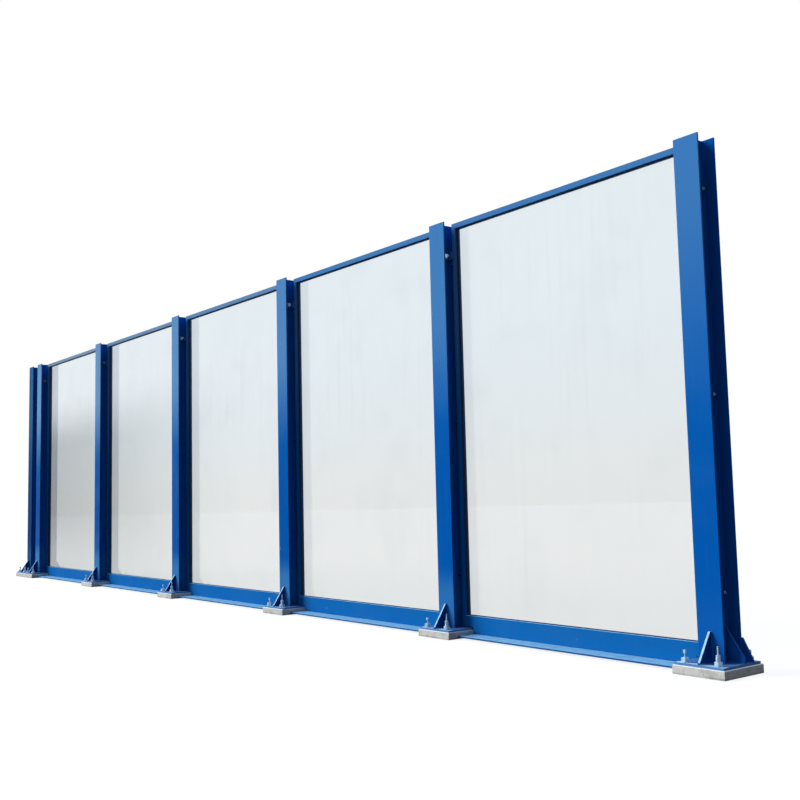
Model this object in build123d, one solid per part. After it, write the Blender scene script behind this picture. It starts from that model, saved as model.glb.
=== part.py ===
from build123d import *
import os

# Transparent highway noise barrier: steel H-posts on bolted feet with framed clear panels between
# them. Millimetres, +Z up, X along the wall. The row origin is the middle of post 1, on the
# underside of its pad. The road side, with the front flanges, faces -Y, and the wall runs on from
# post 1 towards -X, where a closing post stands beside the last bay's post.

# ---- the run of bays ----
BAY = 2000.0                   # post centre to post centre
BAYS = 5
CLOSING_GAP = 36.0             # between the last bay's base plate and the closing post's

# ---- H-section posts ----
POST_WIDTH = 150.0             # across a flange, along the wall
POST_DEPTH = 150.0             # flange face to flange face
FLANGE_T = 10.0
WEB_T = 7.0
ROOT_R = 8.0
FLANGE_TIP_R = 1.5
POST_TOP = 2720.0              # height of the wall above the underside of the pads

# ---- feet ----
PAD_WIDTH = 300.0              # levelling pad along the wall
PAD_FRONT = 190.0              # post centre to the pad's front edge
PAD_BACK = 135.0               # post centre to the pad's back edge
PAD_T = 45.0
PAD_CHAMFER = 3.0
PLATE_MARGIN = 8.0             # pad left showing round the base plate
PLATE_T = 12.0
PLATE_CORNER_R = 4.0
ANCHOR_HOLE_D = 26.0           # for 24 mm anchors
ANCHOR_X = 95.0                # anchor rows either side of the post centre
ANCHOR_EDGE = 34.0             # anchor centre to the pad's front and back edges

# ---- stiffeners ----
STIFFENER_T = 12.0
STIFFENER_SNIPE = 12.0         # corner cut off to clear the weld
STIFFENER_SETBACK = 3.0        # toe of a stiffener to the edge of the base plate
GUSSET_RISE = 150.0            # front gusset, up the front flange
GUSSET_TOE = 10.0
RIB_RISE = 185.0               # rib across the free side of an end post, up its web
RIB_TOE = 26.0
WING_RISE = 114.0              # wing beside the rear flange of an end post
WING_TOE = 10.0

# ---- panel frames ----
FRAME_DEPTH = 50.0
FRAME_SEAT = 21.0              # how far a frame's end reaches in behind the flange
FRAME_EDGE_R = 2.0
TOP_RAIL_H = 36.0
BOTTOM_RAIL_TOP = 132.0        # height of the bottom rail's top edge
RAIL_LIFT = 4.0                # bottom rail above the base plates
STILE_SIGHT = 9.0              # stile showing past the edge of the flange
WALL_T = 3.0                   # wall of the hollow frame members

# ---- skirt below the bottom rail ----
SKIRT_T = 6.0
SKIRT_GAP = 5.0                # skirt end to the side of the pad
LEDGE_DEPTH = 133.0            # from the face of the skirt forwards
LEDGE_T = 9.0
LEDGE_TOP = 20.0

# ---- glazing ----
GLASS_T = 12.0
GASKET_T = 4.0                 # rubber on each face and round the edge
GASKET_SIGHT = 4.0             # rubber showing inside the frame
GLASS_BITE = 11.0              # glass edge inside the frame's edge

# ---- angle cleats that press the heads of the frames against the rear flanges ----
CLEAT_WEB_LEG = 50.0
CLEAT_T = 6.0
CLEAT_LENGTH = 50.0
CLEAT_LAP = 19.0               # how far the other leg laps over the frame
CLEAT_DROP = 215.0             # cleat centre below the top of the wall

# ---- worked out from the sizes above ----
HALF_WIDTH = POST_WIDTH / 2
HALF_DEPTH = POST_DEPTH / 2
HALF_WEB = WEB_T / 2
PLATE_HALF = PAD_WIDTH / 2 - PLATE_MARGIN
PLATE_FRONT = PAD_FRONT - PLATE_MARGIN
PLATE_BACK = PAD_BACK - PLATE_MARGIN
PLATE_TOP = PAD_T + PLATE_T
ANCHOR_FRONT_Y = ANCHOR_EDGE - PAD_FRONT
ANCHOR_BACK_Y = PAD_BACK - ANCHOR_EDGE
GUSSET_RUN = PLATE_FRONT - STIFFENER_SETBACK - HALF_DEPTH
RIB_RUN = PLATE_HALF - STIFFENER_SETBACK - HALF_WEB
WING_RUN = PLATE_HALF - STIFFENER_SETBACK - HALF_WIDTH
BACK_SEAT = HALF_DEPTH - FLANGE_T
FACE_Y = BACK_SEAT - FRAME_DEPTH
GLASS_Y = FACE_Y + FRAME_DEPTH / 2
RAIL_BOTTOM = PLATE_TOP + RAIL_LIFT
TOP_RAIL_Z = POST_TOP - TOP_RAIL_H
FRAME_START = HALF_WIDTH - FRAME_SEAT
STILE_EDGE = HALF_WIDTH + STILE_SIGHT
GROOVE_W = GLASS_T + 2 * GASKET_T
GROOVE_DEPTH = GLASS_BITE + GASKET_T
LEDGE_FRONT = FACE_Y - LEDGE_DEPTH
LEDGE_BOTTOM = LEDGE_TOP - LEDGE_T
CUT = 1.0                      # how far a cutting tool runs past the face it opens

POST_X = [-BAY * i for i in range(BAYS + 1)]
CLOSING_X = POST_X[-1] - 2 * PLATE_HALF - CLOSING_GAP
LOW_CORNER = (Align.MIN, Align.MIN, Align.MIN)
FOOT_CENTRE = (Align.CENTER, Align.CENTER, Align.MIN)


def block(x0, x1, y0, y1, z0, z1):
    """A box between two corners, with its X limits in either order."""
    left = min(x0, x1)
    return Pos(left, y0, z0) * Box(abs(x1 - x0), y1 - y0, z1 - z0, align=LOW_CORNER)


def outer_edges(body, axis):
    """The edges of a body along one axis that lie on the corners of its bounding box."""
    box = body.bounding_box()
    across = [a for a in (Axis.X, Axis.Y, Axis.Z) if a != axis]
    limits = []
    for a in across:
        low = box.min.dot(a.direction)
        high = box.max.dot(a.direction)
        limits.append((a.direction, low, high))
    found = []
    for edge in body.edges().filter_by(axis):
        middle = edge.center()
        places = [(middle.dot(d), low, high) for d, low, high in limits]
        if all(min(abs(m - low), abs(m - high)) < 0.01 for m, low, high in places):
            found.append(edge)
    return found


def h_post(x):
    """One rolled H-section standing on its base plate."""
    body = block(-HALF_WIDTH, HALF_WIDTH, -HALF_DEPTH, HALF_DEPTH, PLATE_TOP, POST_TOP)
    body = fillet(outer_edges(body, Axis.Z), FLANGE_TIP_R)
    for side in (-1, 1):
        channel = block(
            side * HALF_WEB, side * (HALF_WIDTH + CUT), FLANGE_T - HALF_DEPTH, BACK_SEAT,
            PLATE_TOP - CUT, POST_TOP + CUT,
        )
        by_distance = channel.edges().filter_by(Axis.Z).sort_by(lambda edge: abs(edge.center().X))
        body -= fillet(by_distance[:2], ROOT_R)
    return Pos(x, 0, 0) * body


def anchor_holes(x, z0, z1):
    """The four anchor holes of one foot, through whatever lies between two heights."""
    hole = Cylinder(ANCHOR_HOLE_D / 2, z1 - z0 + 2 * CUT, align=FOOT_CENTRE)
    places = [
        Pos(x + side * ANCHOR_X, y, z0 - CUT) for side in (-1, 1) for y in (ANCHOR_FRONT_Y, ANCHOR_BACK_Y)
    ]
    return [place * hole for place in places]


def base_plate(x):
    """The bolted steel plate under one post."""
    plate = block(x - PLATE_HALF, x + PLATE_HALF, -PLATE_FRONT, PLATE_BACK, PAD_T, PLATE_TOP)
    plate = fillet(plate.edges().filter_by(Axis.Z), PLATE_CORNER_R)
    return plate - anchor_holes(x, PAD_T, PLATE_TOP)


def pad(feet):
    """The cast levelling pad under one foot, or under two that stand close together."""
    body = block(
        min(feet) - PAD_WIDTH / 2, max(feet) + PAD_WIDTH / 2, -PAD_FRONT, PAD_BACK, 0, PAD_T
    )
    body = chamfer(body.faces().sort_by(Axis.Z)[-1].edges(), PAD_CHAMFER)
    for x in feet:
        body -= anchor_holes(x, 0, PAD_T)
    return body


def stiffener(run, rise, toe, thickness):
    """A sniped triangular plate in XZ, with its square corner at the origin and X along the foot."""
    outline = Polyline(
        (STIFFENER_SNIPE, 0), (run, 0), (run, toe), (toe, rise), (0, rise), (0, STIFFENER_SNIPE),
        close=True,
    )
    return extrude(make_face(Plane.XZ * outline), thickness / 2, both=True)


def front_gusset(x):
    """The stiffener in the plane of the web, in front of the front flange."""
    plate = stiffener(GUSSET_RUN, GUSSET_RISE, GUSSET_TOE, STIFFENER_T)
    return Pos(x, -HALF_DEPTH, PLATE_TOP) * Rot(0, 0, -90) * plate


def end_stiffeners(x, side):
    """The rib on the web and the wing beside the rear flange, on the free side of an end post."""
    turn = Rot(0, 0, 0 if side > 0 else 180)
    rib = stiffener(RIB_RUN, RIB_RISE, RIB_TOE, STIFFENER_T)
    wing = stiffener(WING_RUN, WING_RISE, WING_TOE, FLANGE_T)
    wing_y = BACK_SEAT + FLANGE_T / 2
    return [
        Pos(x + side * HALF_WEB, 0, PLATE_TOP) * turn * rib,
        Pos(x + side * HALF_WIDTH, wing_y, PLATE_TOP) * turn * wing,
    ]


def stile(x, side):
    """One hollow upright of a panel frame, with the glazing groove along its inner edge."""
    near = x + side * FRAME_START
    far = x + side * STILE_EDGE
    groove = far - side * GROOVE_DEPTH
    z0 = BOTTOM_RAIL_TOP
    z1 = TOP_RAIL_Z
    body = block(near, far, FACE_Y, BACK_SEAT, z0, z1)
    body = fillet(outer_edges(body, Axis.Z), FRAME_EDGE_R)
    body -= block(
        near + side * WALL_T, groove - side * WALL_T, FACE_Y + WALL_T, BACK_SEAT - WALL_T,
        z0 - CUT, z1 + CUT,
    )
    body -= block(
        groove, far + side * CUT, GLASS_Y - GROOVE_W / 2, GLASS_Y + GROOVE_W / 2, z0 - CUT, z1 + CUT
    )
    return body


def groove_span(x0, x1):
    """Where the glazing groove of a bay starts and ends along the wall."""
    return x0 + STILE_EDGE - GROOVE_DEPTH, x1 - STILE_EDGE + GROOVE_DEPTH


def top_rail(x0, x1):
    """The hollow head of a panel frame."""
    left = x0 + FRAME_START
    right = x1 - FRAME_START
    body = block(left, right, FACE_Y, BACK_SEAT, TOP_RAIL_Z, POST_TOP)
    body = fillet(outer_edges(body, Axis.X), FRAME_EDGE_R)
    groove_top = TOP_RAIL_Z + GROOVE_DEPTH
    body -= block(
        left + WALL_T, right - WALL_T, FACE_Y + WALL_T, BACK_SEAT - WALL_T,
        groove_top + WALL_T, POST_TOP - WALL_T,
    )
    body -= block(
        *groove_span(x0, x1), GLASS_Y - GROOVE_W / 2, GLASS_Y + GROOVE_W / 2,
        TOP_RAIL_Z - CUT, groove_top,
    )
    return body


def bottom_rail(x0, x1):
    """The deep foot of a panel frame, with the skirt and ledge that close the gap at the ground."""
    left = x0 + FRAME_START
    right = x1 - FRAME_START
    body = block(left, right, FACE_Y, BACK_SEAT, RAIL_BOTTOM, BOTTOM_RAIL_TOP)
    body = fillet(outer_edges(body, Axis.X), FRAME_EDGE_R)
    groove_floor = BOTTOM_RAIL_TOP - GROOVE_DEPTH
    body -= block(
        left + WALL_T, right - WALL_T, FACE_Y + WALL_T, BACK_SEAT - WALL_T,
        RAIL_BOTTOM + WALL_T, groove_floor - WALL_T,
    )
    body -= block(
        *groove_span(x0, x1), GLASS_Y - GROOVE_W / 2, GLASS_Y + GROOVE_W / 2,
        groove_floor, BOTTOM_RAIL_TOP + CUT,
    )
    skirt_left = x0 + PAD_WIDTH / 2 + SKIRT_GAP
    skirt_right = x1 - PAD_WIDTH / 2 - SKIRT_GAP
    skirt_top = RAIL_BOTTOM + FRAME_EDGE_R
    body += block(skirt_left, skirt_right, FACE_Y, FACE_Y + SKIRT_T, LEDGE_BOTTOM, skirt_top)
    body += block(skirt_left, skirt_right, LEDGE_FRONT, FACE_Y, LEDGE_BOTTOM, LEDGE_TOP)
    return body


def glass(x0, x1):
    """The clear sheet, with its edges inside the frame's grooves."""
    return block(
        x0 + STILE_EDGE - GLASS_BITE, x1 - STILE_EDGE + GLASS_BITE,
        GLASS_Y - GLASS_T / 2, GLASS_Y + GLASS_T / 2,
        BOTTOM_RAIL_TOP - GLASS_BITE, TOP_RAIL_Z + GLASS_BITE,
    )


def gasket(x0, x1):
    """The rubber channel round the edge of one sheet."""
    body = block(
        *groove_span(x0, x1), GLASS_Y - GROOVE_W / 2, GLASS_Y + GROOVE_W / 2,
        BOTTOM_RAIL_TOP - GROOVE_DEPTH, TOP_RAIL_Z + GROOVE_DEPTH,
    )
    body -= block(
        x0 + STILE_EDGE + GASKET_SIGHT, x1 - STILE_EDGE - GASKET_SIGHT,
        GLASS_Y - GROOVE_W, GLASS_Y + GROOVE_W,
        BOTTOM_RAIL_TOP + GASKET_SIGHT, TOP_RAIL_Z - GASKET_SIGHT,
    )
    return body - glass(x0, x1)


def cleat(x, side):
    """The angle on one side of a web that holds the head of a panel frame in its seat."""
    z0 = POST_TOP - CLEAT_DROP - CLEAT_LENGTH / 2
    z1 = z0 + CLEAT_LENGTH
    web = x + side * HALF_WEB
    tip = x + side * (FRAME_START + CLEAT_LAP)
    angle = block(web, web + side * CLEAT_T, FACE_Y - CLEAT_WEB_LEG, FACE_Y, z0, z1)
    return angle + block(web, tip, FACE_Y - CLEAT_T, FACE_Y, z0, z1)


def build():
    """Every node of the barrier by name, as lists of solids that don't touch one another."""
    nodes = {}
    for number, x in enumerate(POST_X, start=1):
        nodes[f"post_{number}"] = [h_post(x)]
        nodes[f"base_plate_{number}"] = [base_plate(x)]
    nodes["post_closing"] = [h_post(CLOSING_X)]
    nodes["base_plate_closing"] = [base_plate(CLOSING_X)]

    for number, x in enumerate(POST_X[:-1], start=1):
        nodes[f"pad_{number}"] = [pad([x])]
    nodes["pad_double"] = [pad([CLOSING_X, POST_X[-1]])]

    nodes["front_gussets"] = [front_gusset(x) for x in POST_X + [CLOSING_X]]
    nodes["end_stiffeners"] = end_stiffeners(POST_X[0], 1) + end_stiffeners(CLOSING_X, -1)

    nodes["panel_cleats"] = []
    nodes["gaskets"] = []
    for number in range(1, BAYS + 1):
        x0 = POST_X[number]
        x1 = POST_X[number - 1]
        nodes[f"stiles_{number}"] = [stile(x0, 1), stile(x1, -1)]
        nodes[f"top_rail_{number}"] = [top_rail(x0, x1)]
        nodes[f"bottom_rail_{number}"] = [bottom_rail(x0, x1)]
        nodes[f"glass_{number}"] = [glass(x0, x1)]
        nodes["panel_cleats"] += [cleat(x0, 1), cleat(x1, -1)]
        nodes["gaskets"].append(gasket(x0, x1))
    return nodes


os.makedirs("parts", exist_ok=True)
for name, solids in build().items():
    shape = solids[0] if len(solids) == 1 else Compound(children=solids)
    export_step(shape, f"parts/{name}.step")
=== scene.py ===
"""Looks of a transparent highway noise barrier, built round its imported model.

The wall runs along X, with post 1 at the origin and the bays running to -X. The road is on the -Y side,
which the front flanges face, and Z is up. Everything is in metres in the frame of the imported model, and
every piece takes its place from the boxes of that model's nodes.
"""
import logging
import math
import random
from dataclasses import dataclass, field
from enum import Enum
from typing import Any, Callable, ClassVar, Iterable

import bmesh
import bpy
from mathutils import Matrix, Vector


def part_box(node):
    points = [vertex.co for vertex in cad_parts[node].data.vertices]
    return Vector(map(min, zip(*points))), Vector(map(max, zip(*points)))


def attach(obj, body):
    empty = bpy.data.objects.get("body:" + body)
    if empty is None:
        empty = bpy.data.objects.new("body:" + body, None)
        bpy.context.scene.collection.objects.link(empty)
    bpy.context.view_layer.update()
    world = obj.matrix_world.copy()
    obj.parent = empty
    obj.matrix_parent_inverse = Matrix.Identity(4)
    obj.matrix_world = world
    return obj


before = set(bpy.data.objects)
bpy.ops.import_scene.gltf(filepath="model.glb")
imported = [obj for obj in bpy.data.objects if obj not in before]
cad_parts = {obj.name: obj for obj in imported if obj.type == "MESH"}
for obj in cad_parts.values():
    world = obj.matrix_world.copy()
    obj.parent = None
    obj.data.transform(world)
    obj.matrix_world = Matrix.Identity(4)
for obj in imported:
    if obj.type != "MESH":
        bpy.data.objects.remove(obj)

log = logging.getLogger("noise_barrier")

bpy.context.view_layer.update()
BODY = "root"
MM = 0.001
ACROSS_WALL = Vector((0, 1, 0))
UP = Vector((0, 0, 1))
SMOOTH_UNDER = math.radians(38)

# half the thickness of a post's web, and the gap between a base plate and the bottom rails over it
WEB_HALF = 3.5 * MM
RAIL_LIFT = 4 * MM

Point = tuple[float, float, float]
Span = tuple[float, float]
Colour = tuple[float, float, float, float]
Socket = bpy.types.NodeSocket
Tree = bpy.types.NodeTree
Material = bpy.types.Material
Inputs = dict[str | int, Any]


# ---- where things are


class Side(Enum):
    """The two sides of a post along the wall."""

    LEFT = -1
    RIGHT = 1

    @property
    def out(self) -> Vector:
        """The way from a post to this side."""
        return Vector((self.value, 0, 0))


@dataclass(frozen=True)
class Post:
    """One post and the foot it stands on.

    Args:
        name: The end of its nodes' names, such as "1" or "closing".
        x: Its centre along the wall.
        number: Its place in the row, counted from 0 at post 1.
        framed: The sides on which a panel frame is seated.
    """

    name: str
    x: float
    number: int
    framed: tuple[Side, ...]


@dataclass(frozen=True)
class Layout:
    """The places that the pieces share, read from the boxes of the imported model.

    Args:
        posts: Every post, from post 1 to the closing post.
        bays: The number of bays with a panel.
        half_width: Half a flange, along the wall.
        front: The front face of the front flanges.
        back: The back face of the rear flanges.
        seat: The inner face of the rear flanges, where the frames are seated.
        frame_front: The front face of the panel frames.
        frame_reach: From a post's centre to the near end of a frame.
        sight: From a post's centre to the inner edge of a stile.
        plate_top: The top of the base plates.
        rail_bottom: The underside of the bottom rails.
        rail_top: The top of the bottom rails.
        head: The underside of the top rails.
    """

    posts: tuple[Post, ...]
    bays: int
    half_width: float
    front: float
    back: float
    seat: float
    frame_front: float
    frame_reach: float
    sight: float
    plate_top: float
    rail_bottom: float
    rail_top: float
    head: float

    @classmethod
    def measure(cls) -> "Layout":
        """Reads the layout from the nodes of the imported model.

        Returns:
            The layout in metres.
        """
        bays = sum(name.startswith("glass_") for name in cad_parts)
        post_low, post_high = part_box("post_1")
        rail_low, rail_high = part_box("top_rail_1")
        glass_low, glass_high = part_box("glass_1")
        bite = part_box("stiles_1")[0].z - glass_low.z
        return cls(
            posts=cls.row(bays), bays=bays, half_width=post_high.x, front=post_low.y, back=post_high.y,
            seat=rail_high.y, frame_front=rail_low.y, frame_reach=-rail_high.x, sight=-glass_high.x + bite,
            plate_top=post_low.z, rail_bottom=post_low.z + RAIL_LIFT, rail_top=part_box("bottom_rail_1")[1].z,
            head=rail_low.z,
        )

    @staticmethod
    def row(bays: int) -> tuple[Post, ...]:
        """Finds the posts and the sides on which panels are seated.

        Args:
            bays: The number of bays with a panel.

        Returns:
            The posts in their order from post 1.
        """
        start = "post_"
        boxes = {name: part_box(name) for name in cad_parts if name.startswith(start)}
        centres = {name: (low.x + high.x) / 2 for name, (low, high) in boxes.items()}
        posts = []
        for number, name in enumerate(sorted(centres, key=lambda name: -centres[name])):
            framed = {Side.LEFT: number < bays, Side.RIGHT: 0 < number <= bays}
            sides = tuple(side for side in Side if framed[side])
            posts.append(Post(name.removeprefix(start), centres[name], number, sides))
        return tuple(posts)

    def bay(self, number: int) -> tuple[Post, Post]:
        """The left and right posts of a bay, with bay 0 beside post 1."""
        return self.posts[number + 1], self.posts[number]


# ---- materials


def linear(colour: str) -> Colour:
    """Turns an sRGB hex colour into the linear colour that a shader takes.

    Args:
        colour: Six hex digits after a hash sign.

    Returns:
        Linear red, green and blue, and an alpha of 1.
    """
    shares = [int(colour[at:at + 2], 16) / 255 for at in (1, 3, 5)]
    parts = [s / 12.92 if s <= 0.04045 else ((s + 0.055) / 1.055) ** 2.4 for s in shares]
    return parts[0], parts[1], parts[2], 1.0


def add(tree: Tree, kind: str, inputs: Inputs, output: str | int = 0, **settings: Any) -> Socket | None:
    """Adds one node to a tree, with its settings and links.

    Args:
        tree: The tree that the node goes into.
        kind: The node's type name.
        inputs: Values or output sockets for its inputs, by name or number.
        output: The output to hand back, by name or number.
        settings: Attributes to set on the node.

    Returns:
        That output's socket, or None if the node has no output.
    """
    made = tree.nodes.new(kind)
    for name, value in settings.items():
        setattr(made, name, value)
    for name, value in inputs.items():
        if isinstance(value, Socket):
            tree.links.new(value, made.inputs[name])
        else:
            made.inputs[name].default_value = value
    return made.outputs[output] if made.outputs else None


def per_mm(size: float) -> float:
    """The scale of a texture in metres whose features are this many millimetres across."""
    return 1 / (size * MM)


class Place(Enum):
    """What a mark can depend on, as the node that knows it, the output, and the axis that is read."""

    HEIGHT = ("ShaderNodeTexCoord", "Object", "Z")
    THROUGH_WALL = ("ShaderNodeTexCoord", "Object", "Y")
    FACING_UP = ("ShaderNodeNewGeometry", "Normal", "Z")


@dataclass(frozen=True)
class Mottle:
    """Irregular marks, as a noise.

    Args:
        size: Their size in millimetres.
        detail: Octaves.
        roughness: How much the fine octaves weigh.
        along: Their length in millimetres where they are drawn out down the barrier, else 0.
    """

    size: float
    detail: float = 4.0
    roughness: float = 0.55
    along: float = 0.0


class Surface:
    """One material in the making."""

    def __init__(self, name: str) -> None:
        """Starts an empty material.

        Args:
            name: The material's name.
        """
        self.material = bpy.data.materials.new(name)
        self.material.use_nodes = True
        self.tree = self.material.node_tree
        self.tree.nodes.clear()
        self.place = add(self.tree, "ShaderNodeTexCoord", {}, "Object")

    def pattern(self, source: Place | Mottle) -> Socket:
        """Reads a place or draws irregular marks.

        Args:
            source: The place or the marks.

        Returns:
            The output socket with the value, which is in metres for a place.
        """
        if isinstance(source, Place):
            kind, output, axis = source.value
            return add(self.tree, "ShaderNodeSeparateXYZ", {0: add(self.tree, kind, {}, output)}, axis)
        inputs = {"Vector": self.place, "Scale": per_mm(source.size)}
        if source.along:
            scale = (per_mm(source.size), per_mm(source.size), per_mm(source.along))
            drawn = add(self.tree, "ShaderNodeMapping", {"Vector": self.place, "Scale": scale})
            inputs = {"Vector": drawn, "Scale": 1.0}
        inputs |= {"Detail": source.detail, "Roughness": source.roughness}
        return add(self.tree, "ShaderNodeTexNoise", inputs, "Fac")

    def share(
        self, source: Socket | Place | Mottle, span: Span, shares: Span = (0.0, 1.0), *within: Socket
    ) -> Socket:
        """How much of a mark shows, eased between two values of a pattern.

        Args:
            source: The pattern.
            span: The two values of the pattern.
            shares: The share at each of them and beyond.
            within: Other shares, which this one is multiplied by.

        Returns:
            The output socket with the share.
        """
        value = source if isinstance(source, Socket) else self.pattern(source)
        limits = {"From Min": span[0], "From Max": span[1], "To Min": shares[0], "To Max": shares[1]}
        inputs = {"Value": value, **limits}
        shown = add(self.tree, "ShaderNodeMapRange", inputs, interpolation_type="SMOOTHSTEP")
        for other in within:
            shown = add(self.tree, "ShaderNodeMath", {0: shown, 1: other}, operation="MULTIPLY")
        return shown

    def coats(self, base: str, *layers: tuple[str, Socket]) -> Socket:
        """Lays colours over one another.

        Args:
            base: The hex colour below.
            layers: The hex colours on top in their order, each with its share.

        Returns:
            The output socket with the colour.
        """
        colour: Socket | Colour = linear(base)
        for cover, share in layers:
            inputs = {0: share, 6: colour, 7: linear(cover)}
            colour = add(self.tree, "ShaderNodeMix", inputs, 2, data_type="RGBA")
        return colour

    def relief(self, *layers: tuple[Socket | Mottle, float, float]) -> Socket:
        """Lays unevenness over the surface.

        Args:
            layers: Each pattern with its real depth in millimetres and how strongly it shows.

        Returns:
            The output socket with the normal.
        """
        normal: Inputs = {}
        for source, depth, strength in layers:
            height = source if isinstance(source, Socket) else self.pattern(source)
            inputs = {"Height": height, "Distance": depth * MM, "Strength": strength, **normal}
            normal = {"Normal": add(self.tree, "ShaderNodeBump", inputs)}
        return normal["Normal"]

    def finish(self, shader: Socket) -> Material:
        """Connects the shader to the output.

        Args:
            shader: The shader's output socket.

        Returns:
            The finished material.
        """
        add(self.tree, "ShaderNodeOutputMaterial", {"Surface": shader})
        return self.material


@dataclass(frozen=True)
class SteelPaint:
    """Satin two-coat paint, sprayed on blasted steel.

    It gives the eye an even blue with a soft sheen and a faint orange peel. It is painted paler towards the
    top, as painted reflection of the sky, and lighter or darker between the flanges of a post, as painted
    light and shade there. Rain has drawn pale streaks down it, spray from the road has dried in a pale mist
    round the foot, dust lies on flat tops and also paints the sky's light on them, less of it lies behind the
    road's edge of the base plates where that also paints the posts' shade, and a few stone chips show the
    primer.

    Args:
        name: The material's name.
        low: Its colour near the ground.
        middle: Its colour half way up.
        high: Its colour at the top, paler to paint the sky's reflection.
        fade: The heights between which it turns from middle to high.
        inner: Its colour between the flanges of a post, which paints the light and shade in there, or empty
            if it has none.
        pale: The colour of the rain streaks.
        dust: The colour of the film on flat tops, which also paints the sky's light on them.
        grime: The colour of the road splash.
        silt: The colour of the silt dried on the edges of the base plates.
        silted: How much of it shows.
        mist: The colour of the dried spray near the ground.
        misted: How much of it shows.
        grimy: How much grime clings to the hems of the skirts.
        primer: The colour in the chips.
        roughness: Of clean paint.
        dusty: How much of the film shows on flat tops.
        dust_and_light_behind: The share of it that lies behind the road's edge of the base plates, where less
            of it also paints the posts' shade.
        lodges: How far up a face looks when dust starts to lie on it, and when it lies fully.
    """

    name: str
    low: str = "#0357A9"
    middle: str = "#075CAD"
    high: str = "#3E7AB7"
    fade: Span = (1.30, 2.15)
    inner: str = ""
    pale: str = "#3F7CC0"
    dust: str = "#98D8FF"
    grime: str = "#1F4570"
    silt: str = "#7090B2"
    silted: float = 0.0
    mist: str = "#58A2CA"
    misted: float = 0.03
    grimy: float = 0.0
    primer: str = "#A8C8EE"
    roughness: float = 0.42
    dusty: float = 0.85
    dust_and_light_behind: float = 1.0
    lodges: Span = (0.40, 0.80)

    # heights above the ground between which each layer starts and is full
    PAINTED_SHEEN_STARTS: ClassVar[Span] = (0.8, 1.7)
    SPLASHED: ClassVar[Span] = (0.40, 0.03)
    SPRAYED: ClassVar[Span] = (0.46, 0.26)
    HEM: ClassVar[Span] = (0.030, 0.019)
    PLATE_EDGE: ClassVar[Span] = (0.0575, 0.054)
    # places through the wall: the road's edge of the base plates, and just inside each flange of a post
    ROAD_EDGE: ClassVar[Span] = (-0.160, -0.125)
    INSIDE_FRONT: ClassVar[Span] = (-0.066, -0.064)
    INSIDE_BACK: ClassVar[Span] = (0.074, 0.072)

    def build(self) -> Material:
        """Builds the material.

        Returns:
            The material.
        """
        surface = Surface(self.name)
        tree = surface.tree
        # painted reflection: the paint turns paler with height, first towards middle and then towards high
        tone_and_painted_light = [
            (self.middle, surface.share(Place.HEIGHT, self.PAINTED_SHEEN_STARTS)),
            (self.high, surface.share(Place.HEIGHT, self.fade)),
            (self.high, surface.share(Mottle(420), (0.42, 0.72), (0.0, 0.10))),
        ]
        # painted light and shade between the flanges: lighter than outside on most posts, and without the
        # paler top on post 1
        if self.inner:
            behind = surface.share(Place.THROUGH_WALL, self.INSIDE_FRONT)
            channel_painted_light = surface.share(Place.THROUGH_WALL, self.INSIDE_BACK, (0.0, 1.0), behind)
            tone_and_painted_light.append((self.inner, channel_painted_light))
        near_ground = surface.share(Place.HEIGHT, self.SPLASHED)
        soiled = [
            (self.pale, surface.share(Mottle(16, 4, 0.6, along=700), (0.56, 0.80), (0.0, 0.22))),
            (self.grime, surface.share(Mottle(28, 3, 0.5, along=900), (0.58, 0.80), (0.0, 0.10))),
            (self.grime, surface.share(Mottle(9, 4, 0.7), (0.48, 0.66), (0.0, 0.22), near_ground)),
            (self.mist, surface.share(Place.HEIGHT, self.SPRAYED, (0.0, self.misted))),
            (self.grime, surface.share(Place.HEIGHT, self.HEM, (0.0, self.grimy))),
            (self.silt, surface.share(Place.HEIGHT, self.PLATE_EDGE, (0.0, self.silted))),
        ]
        # dust thins behind the road's edge of the base plates, which also paints the posts' shade there
        dust_and_light_by_edge = surface.share(Place.THROUGH_WALL, self.ROAD_EDGE, (1.0, self.dust_and_light_behind))
        uneven = (0.75 * self.dusty, self.dusty)
        film = surface.share(Mottle(35, 4, 0.6), (0.30, 0.70), uneven, dust_and_light_by_edge)
        # dust on upward faces, which also paints the sky's light on the tops
        dust_and_skylight = surface.share(Place.FACING_UP, self.lodges, (0.0, 1.0), film)
        # chips lie about 95 mm apart in stony patches; each is a few millimetres across, drawn twice as
        # large as it is so that it shows
        spots = {"Vector": surface.place, "Scale": per_mm(95)}
        cells = add(tree, "ShaderNodeTexVoronoi", spots, "Distance")
        stony = surface.share(Mottle(260, 2), (0.60, 0.64))
        chips = surface.share(cells, (0.065, 0.05), (0.0, 0.75), stony)
        worn = surface.share(Mottle(60), (0.3, 0.7), (self.roughness - 0.05, self.roughness + 0.09))
        dulled = {0: dust_and_skylight, 1: 0.5, 2: worn}
        # orange peel runs at 1 to 2 mm, drawn at 4 mm so that it shows
        peel = (Mottle(4, 2, 0.5), 0.05, 0.5)
        waves = (Mottle(160, 2, 0.4), 0.5, 0.35)
        return surface.finish(add(tree, "ShaderNodeBsdfPrincipled", {
            "Base Color": surface.coats(self.low, *tone_and_painted_light, *soiled, (self.dust, dust_and_skylight), (self.primer, chips)),
            "Roughness": add(tree, "ShaderNodeMath", dulled, operation="MULTIPLY_ADD", use_clamp=True),
            "Normal": surface.relief(peel, waves),
            "IOR": 1.5,
            "Specular IOR Level": 0.01,
        }))


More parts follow.
